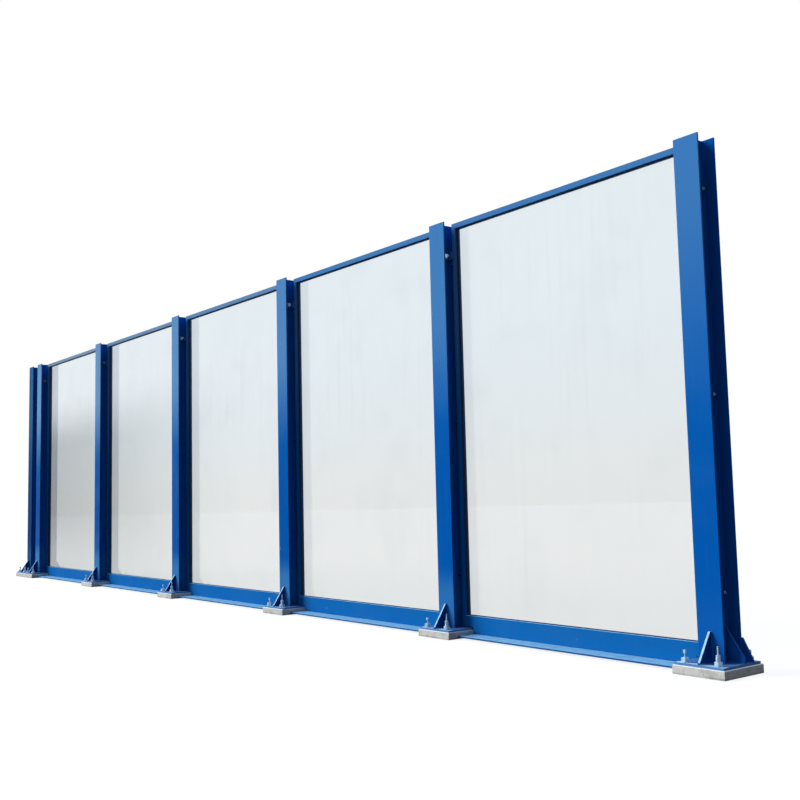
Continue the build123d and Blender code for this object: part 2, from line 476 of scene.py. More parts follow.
@dataclass(frozen=True)
class LaminatedGlass:
    """Clear laminated sheet, floated and left outdoors.

    It gives the eye a pale, slightly blue pane. A thin film of road dust dulls it, with faint dried
    runs, and greys it where it is seen at a steep slant.

    Args:
        name: The material's name.
        clear: The tint of one pass through a face, high up.
        low: The tint near the bottom rail.
        film: The colour of the dust film.
        grey: The colour of the film seen at a slant.
        haze: How much it greys the sheet half way up at the steepest slant.
        slant: How far the sheet turns from the eye when that starts, and when it is full.
        let_through: The light that the sheet lets past from the lamps.
    """

    name: str = "laminated glass"
    clear: str = "#E4EDF2"
    low: str = "#E6E7E4"
    film: str = "#CDD4D9"
    grey: str = "#6E777A"
    haze: float = 0.95
    slant: Span = (0.50, 0.70)
    let_through: str = "#E4EAEF"

    # heights above the ground: where the low tint turns clear, and the two ends of the dustiest part
    CLEARS: ClassVar[Span] = (0.5, 1.9)
    DUSTY_FROM: ClassVar[Span] = (0.15, 0.9)
    DUSTY_TO: ClassVar[Span] = (2.3, 1.6)

    def build(self) -> Material:
        """Builds the material.

        Returns:
            The material.
        """
        surface = Surface(self.name)
        tree = surface.tree
        runs = surface.share(Mottle(45, 4, 0.6, along=1300), (0.50, 0.78), (0.0, 0.14))
        cloud = surface.share(Mottle(500, 4, 0.6), (0.45, 0.75), (0.0, 0.16))
        above = surface.share(Place.HEIGHT, self.DUSTY_FROM, (0.66, 1.0))
        middle = surface.share(Place.HEIGHT, self.DUSTY_TO, (0.0, 1.0), above)
        film = add(tree, "ShaderNodeMath", {0: runs, 1: cloud}, operation="ADD", use_clamp=True)
        thicker = {0: middle, 1: 0.08, 2: film}
        dust = add(tree, "ShaderNodeMath", thicker, operation="MULTIPLY_ADD", use_clamp=True)
        facing = add(tree, "ShaderNodeLayerWeight", {"Blend": 0.5}, "Facing")
        tints = [
            (self.clear, surface.share(Place.HEIGHT, self.CLEARS)),
            (self.film, dust),
            (self.grey, surface.share(facing, self.slant, (0.0, self.haze), middle)),
        ]
        pane = add(tree, "ShaderNodeBsdfPrincipled", {
            "Base Color": surface.coats(self.low, *tints),
            "Roughness": 0.03,
            "IOR": 1.37,
            "Transmission Weight": 0.96,
            "Normal": surface.relief((Mottle(900, 1, 0.4), 0.4, 0.12)),
        })
        passed = add(tree, "ShaderNodeBsdfTransparent", {"Color": linear(self.let_through)})
        shadow = add(tree, "ShaderNodeLightPath", {}, "Is Shadow Ray")
        return surface.finish(add(tree, "ShaderNodeMixShader", {0: shadow, 1: pane, 2: passed}))


@dataclass(frozen=True)
class Rubber:
    """Moulded EPDM rubber, extruded for the gaskets and cut for the packers.

    It gives the eye a matt blue-black line with a little grey bloom.

    Args:
        name: The material's name.
        colour: Of clean rubber.
        bloom: Of the grey bloom on weathered rubber.
    """

    name: str = "EPDM rubber"
    colour: str = "#17335C"
    bloom: str = "#26497A"

    def build(self) -> Material:
        """Builds the material.

        Returns:
            The material.
        """
        surface = Surface(self.name)
        most = 0.6
        bloom = surface.share(Mottle(22, 4, 0.65), (0.40, 0.72), (0.0, most))
        # the skin's grain is under 1 mm, drawn at 2.5 mm so that it shows
        grain = (Mottle(2.5, 2), 0.06, 0.6)
        return surface.finish(add(surface.tree, "ShaderNodeBsdfPrincipled", {
            "Base Color": surface.coats(self.colour, (self.bloom, bloom)),
            "Roughness": surface.share(bloom, (0.0, most), (0.55, 0.80)),
            "Normal": surface.relief(grain),
            "IOR": 1.5,
            "Specular IOR Level": 0.1,
        }))


@dataclass(frozen=True)
class CastMortar:
    """Cement mortar, cast under the base plates in a form.

    It gives the eye a pale warm grey, mottled by damp, with sand grain, open pores, dust on its top and a
    foot that darkens towards the ground.

    Args:
        name: The material's name.
        colour: Of dry mortar.
        damp: Of the darker patches.
        pore: In the open pores.
        dusty: Of the dust on its top.
    """

    name: str = "cast mortar"
    colour: str = "#CFCFC9"
    damp: str = "#A9A9A1"
    pore: str = "#6F6F69"
    dusty: str = "#F8FCFF"

    # heights between which the foot darkens
    FOOT: ClassVar[Span] = (0.016, 0.0)

    def build(self) -> Material:
        """Builds the material.

        Returns:
            The material.
        """
        surface = Surface(self.name)
        most = 0.7
        mottle = surface.share(Mottle(70, 5, 0.6), (0.40, 0.72), (0.0, most))
        patchy = surface.share(mottle, (0.0, most), (0.3, 0.7))
        sand = surface.pattern(Mottle(1.8, 3, 0.7))
        spots = {"Vector": surface.place, "Scale": per_mm(14)}
        pores = add(surface.tree, "ShaderNodeTexVoronoi", spots, "Distance")
        tints = [
            (self.damp, mottle),
            (self.damp, surface.share(sand, (0.50, 0.75), (0.0, 0.5))),
            (self.pore, surface.share(Place.HEIGHT, self.FOOT, (0.0, 1.0), patchy)),
            (self.pore, surface.share(pores, (0.17, 0.10), (0.0, 0.8))),
            (self.dusty, surface.share(Place.FACING_UP, (0.40, 0.80), (0.0, 0.9))),
        ]
        return surface.finish(add(surface.tree, "ShaderNodeBsdfPrincipled", {
            "Base Color": surface.coats(self.colour, *tints),
            "Roughness": surface.share(sand, (0.3, 0.7), (0.80, 0.95)),
            "Normal": surface.relief((sand, 0.5, 0.7), (surface.share(pores, (0.10, 0.22)), 1.2, 0.8)),
            "IOR": 1.5,
            "Specular IOR Level": 0.3,
        }))


@dataclass(frozen=True)
class GalvanisedSteel:
    """Steel, hot-dip galvanised and spun.

    It gives the eye a bright grey metal with soft crystal spangle, dulled in patches by white bloom.

    Args:
        name: The material's name.
        bright: Of fresh zinc.
        dull: Of weathered zinc.
        bloom: Of the white bloom.
        spangle: The size of a zinc crystal in millimetres.
        metallic: How metallic it still looks under its patina.
    """

    name: str = "galvanised steel"
    bright: str = "#C4E2FA"
    dull: str = "#88AAC4"
    bloom: str = "#D8EEFF"
    spangle: float = 7.0
    metallic: float = 0.1

    def build(self) -> Material:
        """Builds the material.

        Returns:
            The material.
        """
        surface = Surface(self.name)
        tree = surface.tree
        grown = {"Vector": surface.place, "Scale": per_mm(self.spangle)}
        crystals = add(tree, "ShaderNodeTexVoronoi", grown, "Color")
        shade = add(tree, "ShaderNodeSeparateColor", {0: crystals})
        bloom = surface.share(Mottle(11, 4, 0.65), (0.48, 0.66), (0.0, 0.7))
        dulled = surface.share(shade, (0.0, 1.0), (0.1, 0.8))
        rough = {0: bloom, 1: 0.3, 2: surface.share(shade, (0.0, 1.0), (0.30, 0.48))}
        return surface.finish(add(tree, "ShaderNodeBsdfPrincipled", {
            "Base Color": surface.coats(self.bright, (self.dull, dulled), (self.bloom, bloom)),
            "Metallic": self.metallic,
            "Roughness": add(tree, "ShaderNodeMath", rough, operation="MULTIPLY_ADD", use_clamp=True),
            "Normal": surface.relief((Mottle(3, 3), 0.08, 0.6)),
        }))


class Finishes:
    """Every material of the barrier."""

    # paint near the ground, half way up and at the top; the paler top paints the sky's reflection, and the
    # slanted colours, mixed into posts further along the row, paint a stronger sheen at the top and are
    # darker low
    FRESH = (SteelPaint.low, SteelPaint.middle, SteelPaint.high)
    PAINTED_SLANT_SHEEN = ("#054482", "#0C5288", "#9DB5CC")
    DARK_POST = ("#04366C", "#084076", "#2C5E8A")
    FRAME = ("#0861A7", "#1A67AE", "#437AB2")
    # paint between the flanges, lighter than outside to paint the light in there
    CHANNEL_LIGHTENED = "#0A70D2"
    DARK_POST_CHANNEL_LIGHT = "#0A66A8"
    # how far each top rail has greyed, from bay 1
    GREYED_RAIL = "#8496A8"
    GREYED = (0.0, 0.05, 0.45, 0.6, 0.85)
    # the mist on a post with the least painted sheen beyond post 1, and how much more there is on one with
    # the most
    LEAST_MIST = 0.20
    MORE_MIST = 0.40
    # the posts whose clamp bolts are still bright, and those whose bolts are no worse than soiled
    PLATED_POSTS = 2
    SOILED_POSTS = 4

    def __init__(self) -> None:
        """Builds the materials that the sub-assemblies share."""
        self.frame_paint = SteelPaint("frame paint", *self.FRAME, grimy=0.5).build()
        dust_silt_and_skylight = {"dust": "#B0E0FC", "dusty": 1.0, "silted": 0.675}
        # foot paint: its thinner dust behind the plates' road edge paints the posts' shade there
        self.foot_paint = SteelPaint("foot paint", dust_and_light_behind=0.18, lodges=(0.50, 0.90), **dust_silt_and_skylight).build()
        # the gussets' darker low colour paints the shade on their faces
        self.gusset_paint = SteelPaint("gusset paint", low="#033884", lodges=(0.10, 0.40), **dust_silt_and_skylight).build()
        self.glass = LaminatedGlass().build()
        self.rubber = Rubber().build()
        self.mortar = CastMortar().build()
        self.zinc = GalvanisedSteel().build()
        self.plated = GalvanisedSteel("zinc-plated steel", "#E2EEFF", "#C0D6F6", "#F4FAFF", 2.0, 0.95).build()
        self.soiled = GalvanisedSteel("soiled zinc", "#86A2D0", "#6482B4", "#96B2DC", 5.0, 0.9).build()
        self.weathered = GalvanisedSteel("weathered zinc", "#425C90", "#2C4474", "#526CA0", 5.0, 0.9).build()

    @staticmethod
    def mixed(first: str, second: str, share: float) -> str:
        """A hex colour part way between two others.

        Args:
            first: The colour at a share of 0.
            second: The colour at a share of 1.
            share: How far between them.

        Returns:
            The hex colour.
        """
        pairs = [(int(first[at:at + 2], 16), int(second[at:at + 2], 16)) for at in (1, 3, 5)]
        return "#" + "".join(f"{round(a + (b - a) * share):02X}" for a, b in pairs)

    def post_paint(self, share: float) -> Material:
        """The paint of one post, with more painted sky sheen on some posts than on others.

        Args:
            share: How much painted sky sheen this post has beyond post 1, or less than 0 for the darker
                closing post.

        Returns:
            The material.
        """
        name = f"post paint {round(share * 100)}"
        if share < 0:
            # the closing post is painted darker all over
            return SteelPaint(name, *self.DARK_POST, inner=self.DARK_POST_CHANNEL_LIGHT, misted=0.1).build()
        if share == 0:
            return SteelPaint(name, fade=(1.20, 2.60), inner=SteelPaint.low).build()
        # posts further along mix in the slanted colours: more painted sky sheen at the top, darker low
        colours = [self.mixed(fresh, slanted, share) for fresh, slanted in zip(self.FRESH, self.PAINTED_SLANT_SHEEN)]
        misted = self.LEAST_MIST + self.MORE_MIST * share
        return SteelPaint(name, *colours, inner=self.CHANNEL_LIGHTENED, misted=misted).build()

    def rail_paint(self, number: int) -> Material:
        """The paint of a top rail, which has greyed more the further the bay lies from post 1.

        Args:
            number: The bay, counted from 1 beside post 1.

        Returns:
            The material.
        """
        low, middle, high = self.FRAME
        greyed = self.mixed(high, self.GREYED_RAIL, self.GREYED[number - 1])
        return SteelPaint(f"rail paint {number}", low, middle, greyed).build()

    def clamp_zinc(self, number: int) -> Material:
        """The zinc of a post's clamp bolts, which is fresh on the first two posts and duller further on.

        Args:
            number: The post's place in the row, from 0 at post 1.

        Returns:
            The material.
        """
        if number < self.PLATED_POSTS:
            return self.plated
        return self.soiled if number < self.SOILED_POSTS else self.weathered


# ---- shapes


@dataclass
class Shape:
    """Points and faces gathered from simple bodies, which become one object.

    Args:
        points: The vertices so far.
        faces: The faces so far, as indices of points.
    """

    points: list[Vector] = field(default_factory=list)
    faces: list[tuple[int, ...]] = field(default_factory=list)

    def take(self, points: Iterable[Vector], faces: Iterable[tuple[int, ...]], place: Matrix) -> None:
        """Adds a body.

        Args:
            points: Its vertices.
            faces: Its faces.
            place: Where it goes.
        """
        start = len(self.points)
        self.points += [place @ Vector(point) for point in points]
        self.faces += [tuple(start + index for index in face) for face in faces]

    def rings(self, rings: list[list[Vector]], place: Matrix, closed: bool = False) -> None:
        """Adds a skin over rings of equally many points.

        Args:
            rings: The rings in order.
            place: Where the body goes.
            closed: True if the last ring joins the first, else both ends are capped.
        """
        count = len(rings[0])
        points = [point for ring in rings for point in ring]
        faces: list[tuple[int, ...]] = []
        for row in range(len(rings) if closed else len(rings) - 1):
            after = (row + 1) % len(rings)
            for at in range(count):
                beside = (at + 1) % count
                faces.append(
                    (row * count + at, row * count + beside, after * count + beside, after * count + at)
                )
        if not closed:
            faces.append(tuple(reversed(range(count))))
            faces.append(tuple(range(len(points) - count, len(points))))
        self.take(points, faces, place)

    @staticmethod
    def ring(radius: Callable[[float], float], height: float, sides: int) -> list[Vector]:
        """One ring of points round the Z axis.

        Args:
            radius: Gives the radius at an angle.
            height: Its height.
            sides: Its points.

        Returns:
            The points.
        """
        angles = [math.tau * at / sides for at in range(sides)]
        return [Vector((radius(a) * math.cos(a), radius(a) * math.sin(a), height)) for a in angles]

    def turned(
        self, radius: Callable[[float, float], float], heights: list[float], sides: int, place: Matrix
    ) -> None:
        """Adds a capped body whose radius depends on angle and height.

        Args:
            radius: Gives the radius at an angle and a height.
            heights: The heights of its rings.
            sides: Points in a ring.
            place: Where it goes, with its axis on Z.
        """
        self.rings([self.ring(lambda angle: radius(angle, z), z, sides) for z in heights], place)

    def collar(self, bore: float, outer: float, high: float, edge: float, sides: int, place: Matrix) -> None:
        """Adds a washer or tube with chamfered outer edges.

        Args:
            bore: The radius of its hole.
            outer: Its outer radius.
            high: Its height.
            edge: Its chamfer.
            sides: Points in a ring.
            place: Where it goes, with its axis on Z.
        """
        face = outer - edge
        profile = [(bore, 0.0), (face, 0.0), (outer, edge), (outer, high - edge), (face, high), (bore, high)]
        self.rings([self.ring(lambda angle: radius, z, sides) for radius, z in profile], place, closed=True)

    def block(self, low: Point, high: Point, edge: float) -> None:
        """Adds a block with rounded edges.

        Args:
            low: Its lowest corner.
            high: Its highest corner.
            edge: The radius of its edges.
        """
        mesh = bmesh.new()
        bmesh.ops.create_cube(mesh, size=1.0)
        size = Vector(high) - Vector(low)
        middle = (Vector(high) + Vector(low)) / 2
        place = Matrix.Translation(middle) @ Matrix.Diagonal((*size, 1.0))
        bmesh.ops.transform(mesh, matrix=place, verts=mesh.verts)
        bmesh.ops.bevel(mesh, geom=list(mesh.edges), offset=edge, segments=2, affect="EDGES", profile=0.5)
        faces = [tuple(vert.index for vert in face.verts) for face in mesh.faces]
        self.take([vert.co.copy() for vert in mesh.verts], faces, Matrix.Identity(4))
        mesh.free()

    def piece(self, name: str, material: Material, slot: str) -> None:
        """Turns the shape into an object that rides on the barrier.

        Args:
            name: The object's name.
            material: Its material.
            slot: The record's slot, which is not used.
        """
        mesh = bpy.data.meshes.new(name)
        mesh.from_pydata([tuple(point) for point in self.points], [], self.faces)
        tidy = bmesh.new()
        tidy.from_mesh(mesh)
        bmesh.ops.recalc_face_normals(tidy, faces=tidy.faces)
        tidy.to_mesh(mesh)
        tidy.free()
        mesh.shade_smooth()
        mesh.set_sharp_from_angle(angle=SMOOTH_UNDER)
        mesh.materials.append(material)
        made = bpy.data.objects.new(name, mesh)
        bpy.context.scene.collection.objects.link(made)
        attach(made, BODY)
        log.info("%s: %d faces", name, len(mesh.polygons))


def pointing(direction: Vector, at: Point) -> Matrix:
    """A place whose Z axis runs along a direction.

    Args:
        direction: Where Z points.
        at: The origin of the place.

    Returns:
        The matrix.
    """
    return Matrix.Translation(at) @ direction.to_track_quat("Z", "Y").to_matrix().to_4x4()


@dataclass
class SubAssembly:
    """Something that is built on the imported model.

    Args:
        layout: Where the posts and bays are.
        finishes: The materials.
    """

    layout: Layout
    finishes: Finishes

    def build(self) -> None:
        """Builds its pieces."""
        raise NotImplementedError


# ---- fasteners


@dataclass(frozen=True)
class Fastener:
    """One size of bolt, with its nut and washer.

    Args:
        diameter: Of the thread.
        pitch: Of the thread, drawn a little coarser than it is so that it shows.
        flats: Across the flats of the nut and head.
        nut: Height of the nut.
        washer: Outer diameter of the washer.
        washer_t: Thickness of the washer.
    """

    diameter: float
    pitch: float
    flats: float
    nut: float
    washer: float
    washer_t: float

    def thread(self, shape: Shape, low: float, high: float, place: Matrix) -> None:
        """Adds a threaded rod.

        Args:
            shape: The shape that it goes into.
            low: Where it starts along its axis.
            high: Where it ends.
            place: Where it goes.
        """
        depth = 0.6 * self.pitch
        root = self.diameter / 2 - depth
        tip = root - 0.2 * depth
        chamfer = self.diameter * 0.12
        rings_per_turn = 4
        sides = 16

        def radius(angle: float, height: float) -> float:
            """The radius of the thread, which runs out in a chamfer at its end."""
            crest = 1 - abs(2 * ((height / self.pitch - angle / math.tau) % 1.0) - 1)
            return min(root + depth * crest, tip + max(high - height, 0.0) / chamfer * depth)

        count = max(int((high - low) / (self.pitch / rings_per_turn)), 2)
        shape.turned(radius, [low + (high - low) * at / count for at in range(count + 1)], sides, place)

    def hexagon(self, shape: Shape, low: float, high: float, place: Matrix, turn: float) -> None:
        """Adds a hexagon nut or head, with its corners chamfered round at both faces.

        Args:
            shape: The shape that it goes into.
            low: Where it starts along its axis.
            high: Where it ends.
            place: Where it goes.
            turn: How far it is turned, in radians.
        """
        inner = self.flats / 2
        face = inner * 0.97
        slope = 1.9
        rise = self.flats * 0.075
        sector = math.pi / 3
        sides = 24

        def radius(angle: float, height: float) -> float:
            """The radius of the hexagon, cut by the chamfer near either face."""
            corner = inner / math.cos((angle % sector) - sector / 2)
            return min(corner, face + min(height - low, high - height) * slope)

        steps = (0.0, 0.35, 0.7, 1.0)
        heights = [low + rise * s for s in steps] + [high - rise * s for s in reversed(steps)]
        shape.turned(radius, heights, sides, place @ Matrix.Rotation(turn, 4, "Z"))

    def disc(self, shape: Shape, place: Matrix) -> None:
        """Adds a washer that lies on a face.

        Args:
            shape: The shape that it goes into.
            place: Where it lies.
        """
        bore = self.diameter / 2 * 0.98
        shape.collar(bore, self.washer / 2, self.washer_t, self.washer_t * 0.2, sides=32, place=place)

    def nutted(self, shape: Shape, place: Matrix, proud: float, turn: float) -> None:
        """Adds a washer, a nut and the end of the thread that stands proud of it.

        Args:
            shape: The shape that they go into.
            place: The face that the washer lies on.
            proud: How far the thread stands out of the nut.
            turn: How far the nut is turned.
        """
        self.disc(shape, place)
        self.hexagon(shape, self.washer_t, self.washer_t + self.nut, place, turn)
        self.thread(shape, self.washer_t + self.nut * 0.9, self.washer_t + self.nut + proud, place)


# usual metric sizes, in the order of the fields above, and a slim stud on the front anchors
ANCHOR = Fastener(24 * MM, 4.0 * MM, 36 * MM, 19 * MM, 44 * MM, 4 * MM)
STUD = Fastener(9 * MM, 2.4 * MM, 17 * MM, 8 * MM, 20 * MM, 2 * MM)
CLAMP_BOLT = Fastener(20 * MM, 3.6 * MM, 30 * MM, 17 * MM, 37 * MM, 3 * MM)
TIE_BOLT = Fastener(16 * MM, 3.2 * MM, 24 * MM, 13 * MM, 38 * MM, 3 * MM)


@dataclass
class Anchors(SubAssembly):
    """The four anchors of every foot, with their nuts and washers.

    Args:
        across: From a post's centre to its anchor rows.
        edge: From the front and back edges of a pad to the anchors.
        proud: How far the rods stand out of the nuts.
        uneven: How much that differs from rod to rod.
        stud: The length of the thin stud on the front right anchor, by which the foot was levelled.
        short: How far the front left anchor stands out of its nut.
        short_stud: The length of the stud on that one.
        cap: The height of the nut at that stud's end.
        sunk: How far a stud starts below the end of its anchor.
    """

    across: float = 95 * MM
    edge: float = 34 * MM
    proud: float = 34 * MM
    uneven: float = 4 * MM
    stud: float = 42 * MM
    short: float = 3 * MM
    short_stud: float = 36 * MM
    cap: float = 15 * MM
    sunk: float = 2 * MM

    def build(self) -> None:
        """Builds one piece for each foot."""
        chance = random.Random(24)
        pad_low, pad_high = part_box("pad_1")
        rows = (pad_low.y + self.edge, pad_high.y - self.edge)
        for post in self.layout.posts:
            shape = Shape()
            for side in Side:
                for row in rows:
                    spot = (post.x + side.value * self.across, row, self.layout.plate_top)
                    proud = self.proud + chance.uniform(-self.uneven, self.uneven)
                    turn = chance.uniform(0, math.tau)
                    front = side if row == rows[0] else None
                    self.anchor(shape, Matrix.Translation(spot), proud, turn, front)
            shape.piece(f"anchors_{post.name}", self.finishes.zinc, "foot_paint")

    def anchor(self, shape: Shape, place: Matrix, proud: float, turn: float, front: Side | None) -> None:
        """Adds one anchor, with a levelling stud where it is on the road side.

        Args:
            shape: The shape that it goes into.
            place: Its axis where it leaves the base plate.
            proud: How far the rod stands out of the nut.
            turn: How far the nut is turned.
            front: The side of the post that a road-side anchor is on, or None for a rear one.
        """
        if front is Side.LEFT:
            proud = self.short
        ANCHOR.nutted(shape, place, proud, turn)
        head = ANCHOR.washer_t + ANCHOR.nut + proud
        if front is Side.RIGHT:
            STUD.thread(shape, head - self.sunk, head + self.stud, place)
        if front is Side.LEFT:
            STUD.thread(shape, head - self.sunk, head + self.short_stud, place)
            top = head + self.short_stud - self.sunk
            STUD.hexagon(shape, top - self.cap, top, place, turn)


@dataclass
class PanelFixings(SubAssembly):
    """What holds the panel frames in the posts: clamp bolts at the cleats, and tie bolts lower down.

    Args:
        clamp_y: The clamp bolts' place through the wall.
        cleat_t: The thickness of a cleat.
        clamp_proud: How far a clamp bolt stands out of its nut on a cleat.
        clamp_short: How far it does on a side with no panel.
        tie_proud: How far a tie bolt stands out of its nut.
        tie_heights: The heights of the tie bolts.
        sleeve: The radius of the spacer sleeves on the tie bolts.
        sleeve_wall: The thickness of their wall.
        sleeve_edge: The chamfer of their ends.
    """

    clamp_y: float = -10 * MM
    cleat_t: float = 6 * MM
    clamp_proud: float = 11 * MM
    clamp_short: float = 4 * MM
    tie_proud: float = 7 * MM
    tie_heights: tuple[float, ...] = (0.390, 1.385, 2.458)
    sleeve: float = 12 * MM
    sleeve_wall: float = 4 * MM
    sleeve_edge: float = 1 * MM

    def build(self) -> None:
        """Builds the clamp bolts, the tie bolts and the sleeves."""
        cleat_low, cleat_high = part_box("panel_cleats")
        clamp_z = (cleat_low.z + cleat_high.z) / 2
        tie_y = (self.layout.frame_front + self.layout.seat) / 2
        chance = random.Random(20)
        ties, sleeves = Shape(), Shape()
        for post in self.layout.posts:
            if not post.framed:
                continue
            clamps = Shape()
            for side in Side:
                framed = side in post.framed
                face = WEB_HALF + (self.cleat_t if framed else 0.0)
                spot = (post.x + side.value * face, self.clamp_y, clamp_z)
                proud = self.clamp_proud if framed else self.clamp_short
                CLAMP_BOLT.nutted(clamps, pointing(side.out, spot), proud, chance.uniform(0, math.tau))
                for height in self.tie_heights:
                    root = pointing(side.out, (post.x + side.value * WEB_HALF, tie_y, height))
                    if framed:
                        self.sleeved(sleeves, root)
                    else:
                        TIE_BOLT.nutted(ties, root, self.tie_proud, chance.uniform(0, math.tau))
            clamps.piece(f"clamp_bolts_{post.name}", self.finishes.clamp_zinc(post.number), "post_paint")
        ties.piece("tie_bolts", self.finishes.weathered, "post_paint")
        sleeves.piece("tie_sleeves", self.finishes.foot_paint, "post_paint")

    def sleeved(self, shape: Shape, place: Matrix) -> None:
        """Adds the spacer tube between a web and the side of a frame.

        Args:
            shape: The shape that it goes into.
            place: The web's face, with Z towards the frame.
        """
        bore = self.sleeve - self.sleeve_wall
        length = self.layout.frame_reach - WEB_HALF
        shape.collar(bore, self.sleeve, length, self.sleeve_edge, sides=28, place=place)


# ---- welds


@dataclass
class Welds(SubAssembly):
    """The fillet welds of the posts, base plates and stiffeners.

    Args:
        leg: The leg of a weld.
        ripple: The spacing of the ripples, drawn about twice as coarse as they are so that they show.
        swell: How much thicker a weld is at a ripple.
        crown: The most that it swells, in parts of the leg.
        throat: How much smaller than the leg a weld is drawn.
        thin: The share of its thickness that a weld has at its ends.
        sink: How far it reaches into the steel.
        section: The outline of its face between the two toes, in parts of the leg.
        root: The radius between a web and a flange.
        stiffener: The thickness of a gusset or rib.
        wing: The thickness of a wing, which stiffens a rear flange.
        wing_rise: The height of a wing's back edge.
        snipe: The corner cut off a stiffener where the welds cross.
        stop: How far before a stiffener's end its weld stops.
    """

    leg: float = 4 * MM
    ripple: float = 5 * MM
    swell: float = 0.10
    crown: float = 1.08
    throat: float = 0.92
    thin: float = 0.4
    sink: float = 0.3 * MM
    section: tuple[Span, ...] = ((0.78, 0.42), (0.42, 0.78))
    root: float = 8 * MM
    stiffener: float = 12 * MM
    wing: float = 10 * MM
    wing_rise: float = 114 * MM
    snipe: float = 13 * MM
    stop: float = 2 * MM

    def bead(self, shape: Shape, start: Vector, end: Vector, out: Vector, up: Vector = UP) -> None:
        """Adds one straight fillet weld in the corner between two faces.

        Args:
            shape: The shape that it goes into.
            start: Where it starts, in the corner.
            end: Where it ends.
            out: Along the first face, away from the corner.
            up: Along the second face, away from the corner.
        """
        run = end - start
        rows = max(int(run.length / (self.ripple / 3)), 2)
        rings = []
        for row in range(rows + 1):
            share = row / rows
            phase = (share * run.length / self.ripple) % 1.0
            swell = 1 + self.swell * math.sin(math.pi * phase)
            taper = min(1.0, self.thin + min(share, 1 - share) * run.length / self.leg)
            size = self.leg * min(swell, self.crown) * taper * self.throat
            face = [(size * a, size * b) for a, b in self.section]
            outline = [(-self.sink, -self.sink), (size, -self.sink), *face, (-self.sink, size)]
            rings.append([start + run * share + out * a + up * b for a, b in outline])
        shape.rings(rings, Matrix.Identity(4))

    def around_post(self, shape: Shape, post: Post) -> None:
        """Adds the weld between a post and its base plate.

        Args:
            shape: The shape that it goes into.
            post: The post.
        """
        layout = self.layout
        flange = layout.back - layout.seat
        inner = layout.front + flange

        def run(start: Span, end: Span, out: Vector) -> None:
            """Adds one weld between two places on the base plate, each given by its X and Y."""
            self.bead(shape, Vector((*start, layout.plate_top)), Vector((*end, layout.plate_top)), out)

        left, right = post.x - layout.half_width, post.x + layout.half_width
        run((left, layout.front), (right, layout.front), -ACROSS_WALL)
        run((left, layout.back), (right, layout.back), ACROSS_WALL)
        for side in Side:
            edge = post.x + side.value * layout.half_width
            near = post.x + side.value * (WEB_HALF + self.root * 0.5)
            face = post.x + side.value * WEB_HALF
            run((near, inner), (edge, inner), ACROSS_WALL)
            run((near, layout.seat), (edge, layout.seat), -ACROSS_WALL)
            run((face, inner), (face, layout.seat), side.out)
            run((edge, layout.front), (edge, inner), side.out)
            run((edge, layout.seat), (edge, layout.back), side.out)

    def along_plate(
        self, shape: Shape, corner: Vector, out: Vector, run: float, rise: float, thickness: float
    ) -> None:
        """Adds the welds on both faces of an upright stiffener, at its foot and at its back edge.

        Args:
            shape: The shape that they go into.
            corner: Where the stiffener's back edge meets the plate, in its middle plane.
            out: Along its foot, away from the post.
            run: The length of its foot.
            rise: The height of its back edge.
            thickness: Its thickness.
        """
        across = UP.cross(out)
        for way in (-1, 1):
            face = corner + across * way * thickness / 2
            self.bead(shape, face + out * self.snipe, face + out * (run - self.stop), across * way)
            self.bead(shape, face + UP * self.snipe, face + UP * (rise - self.stop), across * way, out)

    def build(self) -> None:
        """Builds one piece of weld for each foot."""
        layout = self.layout
        foot = layout.plate_top
        gusset_low, gusset_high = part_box("front_gussets")
        ends = {0: Side.RIGHT, len(layout.posts) - 1: Side.LEFT}
        for post in layout.posts:
            shape = Shape()
            self.around_post(shape, post)
            corner = Vector((post.x, layout.front, foot))
            run = layout.front - gusset_low.y
            self.along_plate(shape, corner, -ACROSS_WALL, run, gusset_high.z - foot, self.stiffener)
            if post.number in ends:
                self.end_stiffeners(shape, post, ends[post.number])
            shape.piece(f"welds_{post.name}", self.finishes.foot_paint, "foot_paint")

    def end_stiffeners(self, shape: Shape, post: Post, side: Side) -> None:
        """Adds the welds of the rib and the wing on the free side of an end post.

        Args:
            shape: The shape that they go into.
            post: The end post.
            side: Its free side.
        """
        layout = self.layout
        foot = layout.plate_top
        low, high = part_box("end_stiffeners")
        reach = abs((high.x if side is Side.RIGHT else low.x) - post.x)
        corner = Vector((post.x + side.value * WEB_HALF, 0, foot))
        self.along_plate(shape, corner, side.out, reach - WEB_HALF, high.z - foot, self.stiffener)
        middle = (layout.seat + layout.back) / 2
        corner = Vector((post.x + side.value * layout.half_width, middle, foot))
        self.along_plate(shape, corner, side.out, reach - layout.half_width, self.wing_rise, self.wing)


# ---- panels


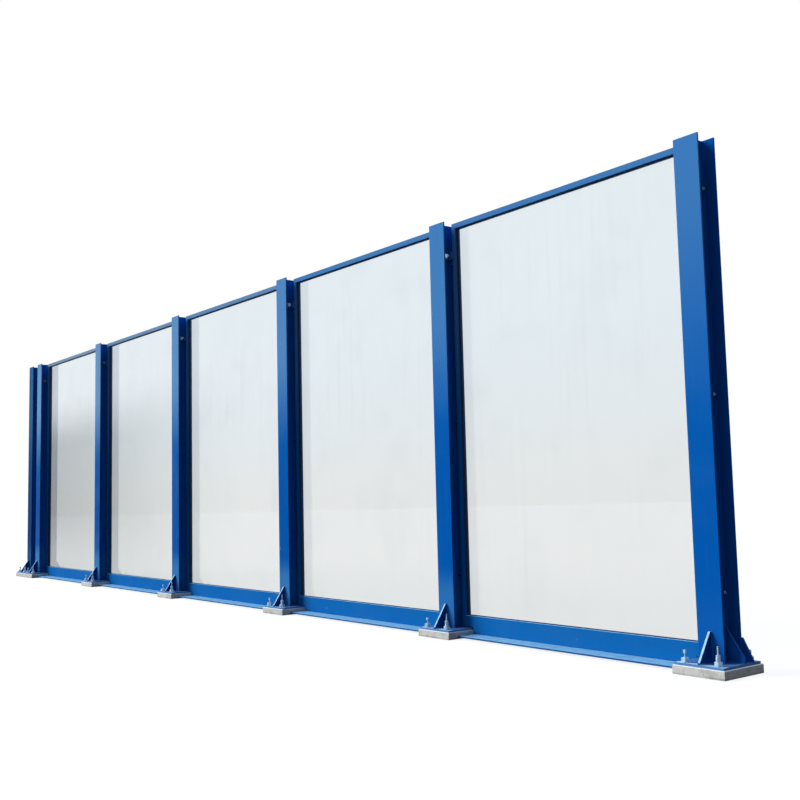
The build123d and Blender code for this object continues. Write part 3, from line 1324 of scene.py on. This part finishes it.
@dataclass
class PanelTrim(SubAssembly):
    """The glazing beads on the back of each panel frame, their screws, and the packers under the frames.

    Args:
        width: The width of a glazing bead.
        proud: How far it stands out of the frame.
        bedded: How far it reaches into the frame.
        gap: Between the end of one bead and the side of the next.
        bead_edge: The radius of a bead's edges.
        spacing: The spacing of its screws.
        screw: The radius of a screw head.
        dome: The height of a screw head.
        countersunk: How far a screw head is drawn into the bead.
        end_z: From the ends of an upright bead to its first and last screws.
        end_x: The same on a level bead.
        skirt_start: From a post's centre to the end of a bottom rail's skirt.
        packer_start: From the end of a frame to its packer.
        packer: The length of a packer.
        inset: From the faces of the frame to the rubber.
        seal_front: The same at the road side of a seal.
        rubber_edge: The radius of the edges of the rubber.
        squeeze: How much a seal is squeezed at each end.
    """

    width: float = 8.5 * MM
    proud: float = 3 * MM
    bedded: float = 0.5 * MM
    gap: float = 0.4 * MM
    bead_edge: float = 1 * MM
    spacing: float = 300 * MM
    screw: float = 3.2 * MM
    dome: float = 2.2 * MM
    countersunk: float = 0.3 * MM
    end_z: float = 40 * MM
    end_x: float = 60 * MM
    skirt_start: float = 155 * MM
    packer_start: float = 12 * MM
    packer: float = 50 * MM
    inset: float = 4 * MM
    seal_front: float = 1 * MM
    rubber_edge: float = 0.6 * MM
    squeeze: float = 0.3 * MM

    # a screw head's profile, as parts of its height and of its radius
    HEAD: ClassVar[tuple[Span, ...]] = ((0.0, 1.0), (0.5, 0.98), (0.85, 0.8), (1.0, 0.35))

    def beads(self, shape: Shape, left: float, right: float) -> None:
        """Adds the four glazing beads of one bay.

        Args:
            shape: The shape that they go into.
            left: The inner edge of the left stile.
            right: The inner edge of the right stile.
        """
        low, high = self.layout.rail_top, self.layout.head
        front, back = self.layout.seat - self.bedded, self.layout.seat + self.proud
        upright = (low - self.width, high + self.width)
        level = (left + self.gap, right - self.gap)
        for (x0, x1), (z0, z1) in (
            ((left - self.width, left), upright), ((right, right + self.width), upright),
            (level, (low - self.width, low)), (level, (high, high + self.width)),
        ):
            shape.block((x0, front, z0), (x1, back, z1), self.bead_edge)

    def screws(self, shape: Shape, left: float, right: float) -> None:
        """Adds the pan-head screws of one bay's glazing beads.

        Args:
            shape: The shape that they go into.
            left: The inner edge of the left stile.
            right: The inner edge of the right stile.
        """
        layout = self.layout
        half = self.width / 2
        heights = self.spaced(layout.rail_top, layout.head, self.end_z)
        spots = [(x, z) for z in heights for x in (left - half, right + half)]
        spots += [
            (x, z) for x in self.spaced(left, right, self.end_x)
            for z in (layout.rail_top - half, layout.head + half)
        ]
        y = layout.seat + self.proud - self.countersunk
        for x, z in spots:
            rings = [
                Shape.ring(lambda angle: self.screw * wide, self.dome * rise, sides=12)
                for rise, wide in self.HEAD
            ]
            shape.rings(rings, pointing(ACROSS_WALL, (x, y, z)))

    def spaced(self, low: float, high: float, end: float) -> list[float]:
        """The places of the screws along a bead.

        Args:
            low: Where the bead starts.
            high: Where it ends.
            end: From either end to the nearest screw.

        Returns:
            The places.
        """
        length = high - low
        count = round(length / self.spacing)
        return [low + end + (length - 2 * end) * at / count for at in range(count + 1)]

    def packers(self, shape: Shape, post: Post) -> None:
        """Adds the rubber packers under the ends of the rails, and the seals beside the base plate.

        Args:
            shape: The shape that they go into.
            post: The post that the rails end at.
        """
        layout = self.layout
        start = layout.frame_reach + self.packer_start
        front, back = layout.frame_front + self.inset, layout.seat - self.inset
        seal_front = layout.frame_front + self.seal_front
        plate_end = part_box("base_plate_1")[1].x + self.squeeze
        skirt_end = self.skirt_start - self.squeeze
        pad_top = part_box("pad_1")[1].z
        for side in post.framed:
            for near, far, road, foot in (
                (start, start + self.packer, front, layout.plate_top),
                (plate_end, skirt_end, seal_front, pad_top),
            ):
                ends = sorted((post.x + side.value * near, post.x + side.value * far))
                low, high = (ends[0], road, foot), (ends[1], back, layout.rail_bottom)
                shape.block(low, high, self.rubber_edge)

    def build(self) -> None:
        """Builds the beads bay by bay, and the packers as one piece."""
        for number in range(self.layout.bays):
            left_post, right_post = self.layout.bay(number)
            left = left_post.x + self.layout.sight
            right = right_post.x - self.layout.sight
            beads, screws = Shape(), Shape()
            self.beads(beads, left, right)
            self.screws(screws, left, right)
            beads.piece(f"glazing_beads_{number + 1}", self.finishes.frame_paint, "frame_paint")
            screws.piece(f"bead_screws_{number + 1}", self.finishes.zinc, "frame_paint")
        packers = Shape()
        for post in self.layout.posts:
            self.packers(packers, post)
        packers.piece("rail_packers", self.finishes.rubber, "gasket_rubber")


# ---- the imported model's own nodes


@dataclass
class Dressing(SubAssembly):
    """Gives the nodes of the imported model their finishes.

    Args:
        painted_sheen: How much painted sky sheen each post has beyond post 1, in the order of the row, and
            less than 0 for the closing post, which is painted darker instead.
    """

    painted_sheen: tuple[float, ...] = (0.0, 0.06, 0.2, 0.32, 0.4, 0.45, -1.0)

    def finish_of(self, name: str) -> Material:
        """The material of a node that shares its finish with others.

        Args:
            name: The node's name.

        Returns:
            Its material.
        """
        finishes = self.finishes
        shared = {
            "base_plate": finishes.foot_paint, "front_gussets": finishes.gusset_paint,
            "end_stiffeners": finishes.foot_paint, "panel_cleats": finishes.foot_paint,
            "pad": finishes.mortar, "gaskets": finishes.rubber, "stiles": finishes.frame_paint,
            "bottom_rail": finishes.frame_paint, "glass": finishes.glass,
        }
        for start, material in shared.items():
            if name.startswith(start):
                return material
        raise ValueError(f"no finish for node {name}")

    def build(self) -> None:
        """Dresses every node."""
        paints = {}
        for post in self.layout.posts:
            paints[f"post_{post.name}"] = self.finishes.post_paint(self.painted_sheen[post.number])
        for number in range(1, self.layout.bays + 1):
            paints[f"top_rail_{number}"] = self.finishes.rail_paint(number)
        for name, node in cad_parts.items():
            material = paints.get(name) or self.finish_of(name)
            node.data.materials.clear()
            node.data.materials.append(material)
            log.info("%s: %s", name, material.name)


# ---- studio


def seen(tree: Tree) -> Socket:
    """Tells what is seen, directly, in metal or through glass, from what lights the barrier.

    Args:
        tree: The tree that the nodes go into.

    Returns:
        The output socket, with 1 for what is seen and 0 for what lights.
    """
    shown = add(tree, "ShaderNodeLightPath", {}, "Is Camera Ray")
    for ray in ("Is Glossy Ray", "Is Transmission Ray"):
        other = add(tree, "ShaderNodeLightPath", {}, ray)
        shown = add(tree, "ShaderNodeMath", {0: shown, 1: other}, operation="MAXIMUM")
    bounces = add(tree, "ShaderNodeLightPath", {}, "Diffuse Depth")
    early = add(tree, "ShaderNodeMath", {0: bounces, 1: 0.5}, operation="LESS_THAN")
    return add(tree, "ShaderNodeMath", {0: shown, 1: early}, operation="MULTIPLY")


@dataclass(frozen=True)
class Sun:
    """One far, soft lamp.

    Args:
        name: Its name.
        turn: The way it comes from, in degrees left of the wall's normal on the road side.
        rise: Degrees above the ground.
        strength: Its irradiance.
        spread: Its angular size in degrees.
    """

    name: str
    turn: float
    rise: float
    strength: float
    spread: float

    def hang(self) -> None:
        """Adds the lamp to the scene."""
        data = bpy.data.lights.new(self.name, "SUN")
        data.energy = self.strength
        data.angle = math.radians(self.spread)
        turn, rise = math.radians(self.turn), math.radians(self.rise)
        level = math.cos(rise)
        source = Vector((-math.sin(turn) * level, -math.cos(turn) * level, math.sin(rise)))
        lamp = bpy.data.objects.new(self.name, data)
        lamp.rotation_mode = "QUATERNION"
        lamp.rotation_quaternion = source.to_track_quat("Z", "Y")
        lamp.visible_transmission = False
        lamp.visible_glossy = False
        bpy.context.scene.collection.objects.link(lamp)


@dataclass
class Studio:
    """The floor, the light and the camera.

    Args:
        suns: The light from the road, the light on the back, and a weak one on the near sides.
        sky: The colour of the sky.
        horizon: Its strength near the horizon.
        overhead: Its strength overhead.
        brightens: How far a direction rises where the sky starts to brighten, and where it is brightest.
        floor_radius: The radius of the floor.
        floor_drop: How far it lies under the feet.
        floor_lit: Its colour as it lights the barrier.
        floor_seen: The part of its shown colour that takes the barrier's shadow.
        floor_glow: The glow that is added to that, so that it shows white.
        stand: Where the camera stands.
        aim: Its direction, as degrees left of the wall's normal, degrees up, and degrees rolled.
        lens: Its focal length in millimetres.
        film: The width of its film in millimetres.
    """

    suns: tuple[Sun, ...] = (
        Sun("key", turn=49.0, rise=24.0, strength=4.15, spread=40.0),
        Sun("rim", turn=168.0, rise=38.0, strength=1.7, spread=40.0),
        Sun("soft", turn=-20.0, rise=20.0, strength=0.25, spread=60.0),
    )
    sky: str = "#B8D0FC"
    horizon: float = 0.125
    overhead: float = 0.40
    brightens: Span = (0.1, 1.0)
    floor_radius: float = 80.0
    floor_drop: float = 1 * MM
    floor_lit: str = "#6E6E6E"
    floor_seen: str = "#7A7A7A"
    floor_glow: float = 0.84
    stand: Point = (3.0574, -4.3644, 0.8984)
    aim: tuple[float, float, float] = (52.019, 5.523, -1.329)
    lens: float = 45.355
    film: float = 36.0

    def world(self) -> None:
        """Makes the background white and lights the object from a soft sky that is brightest overhead."""
        world = bpy.data.worlds.new("studio")
        bpy.context.scene.world = world
        world.use_nodes = True
        tree = world.node_tree
        tree.nodes.clear()
        place = add(tree, "ShaderNodeTexCoord", {}, "Generated")
        rise = add(tree, "ShaderNodeSeparateXYZ", {0: place}, "Z")
        inputs = {
            "Value": rise, "From Min": self.brightens[0], "From Max": self.brightens[1],
            "To Min": self.horizon, "To Max": self.overhead,
        }
        strength = add(tree, "ShaderNodeMapRange", inputs, interpolation_type="SMOOTHSTEP")
        sky = add(tree, "ShaderNodeBackground", {"Color": linear(self.sky), "Strength": strength})
        white = add(tree, "ShaderNodeBackground", {"Color": linear("#FFFFFF"), "Strength": 1.0})
        mixed = add(tree, "ShaderNodeMixShader", {0: seen(tree), 1: sky, 2: white})
        add(tree, "ShaderNodeOutputWorld", {"Surface": mixed})

    def floor(self) -> None:
        """Lays a wide pale floor just under the feet, which shows white with soft shadows."""
        shape = bmesh.new()
        bmesh.ops.create_circle(shape, cap_ends=True, segments=96, radius=self.floor_radius)
        mesh = bpy.data.meshes.new("floor")
        shape.to_mesh(mesh)
        shape.free()
        surface = Surface("studio floor")
        tree = surface.tree
        lit = add(tree, "ShaderNodeBsdfDiffuse", {"Color": linear(self.floor_lit)})
        soft = add(tree, "ShaderNodeBsdfDiffuse", {"Color": linear(self.floor_seen)})
        glow = add(tree, "ShaderNodeEmission", {"Color": linear("#FFFFFF"), "Strength": self.floor_glow})
        shown = add(tree, "ShaderNodeAddShader", {0: soft, 1: glow})
        mixed = add(tree, "ShaderNodeMixShader", {0: seen(tree), 1: lit, 2: shown})
        mesh.materials.append(surface.finish(mixed))
        floor = bpy.data.objects.new("floor", mesh)
        floor.location.z = -self.floor_drop
        bpy.context.scene.collection.objects.link(floor)

    def camera(self) -> None:
        """Stands the camera on the road side, beyond post 1, looking back along the wall."""
        turn, rise, roll = (math.radians(angle) for angle in self.aim)
        ahead = Vector((-math.sin(turn) * math.cos(rise), math.cos(turn) * math.cos(rise), math.sin(rise)))
        level = Vector((math.cos(turn), math.sin(turn), 0))
        above = level.cross(ahead)
        right = level * math.cos(roll) + above * math.sin(roll)
        top = above * math.cos(roll) - level * math.sin(roll)
        place = Matrix((right, top, -ahead)).transposed().to_4x4()
        place.translation = self.stand
        data = bpy.data.cameras.new("camera")
        data.sensor_width = self.film
        data.lens = self.lens
        camera = bpy.data.objects.new("camera", data)
        camera.matrix_world = place
        bpy.context.scene.collection.objects.link(camera)
        bpy.context.scene.camera = camera

    def build(self) -> None:
        """Sets up the whole studio."""
        self.world()
        self.floor()
        for sun in self.suns:
            sun.hang()
        self.camera()
        bpy.context.scene.view_settings.view_transform = "Standard"


def main() -> None:
    """Builds the barrier's looks in order."""
    logging.basicConfig(level=logging.INFO, format="%(message)s")
    layout = Layout.measure()
    finishes = Finishes()
    Studio().build()
    for assembly in (Dressing, Anchors, PanelFixings, Welds, PanelTrim):
        assembly(layout, finishes).build()


if __name__ == "__main__":
    main()
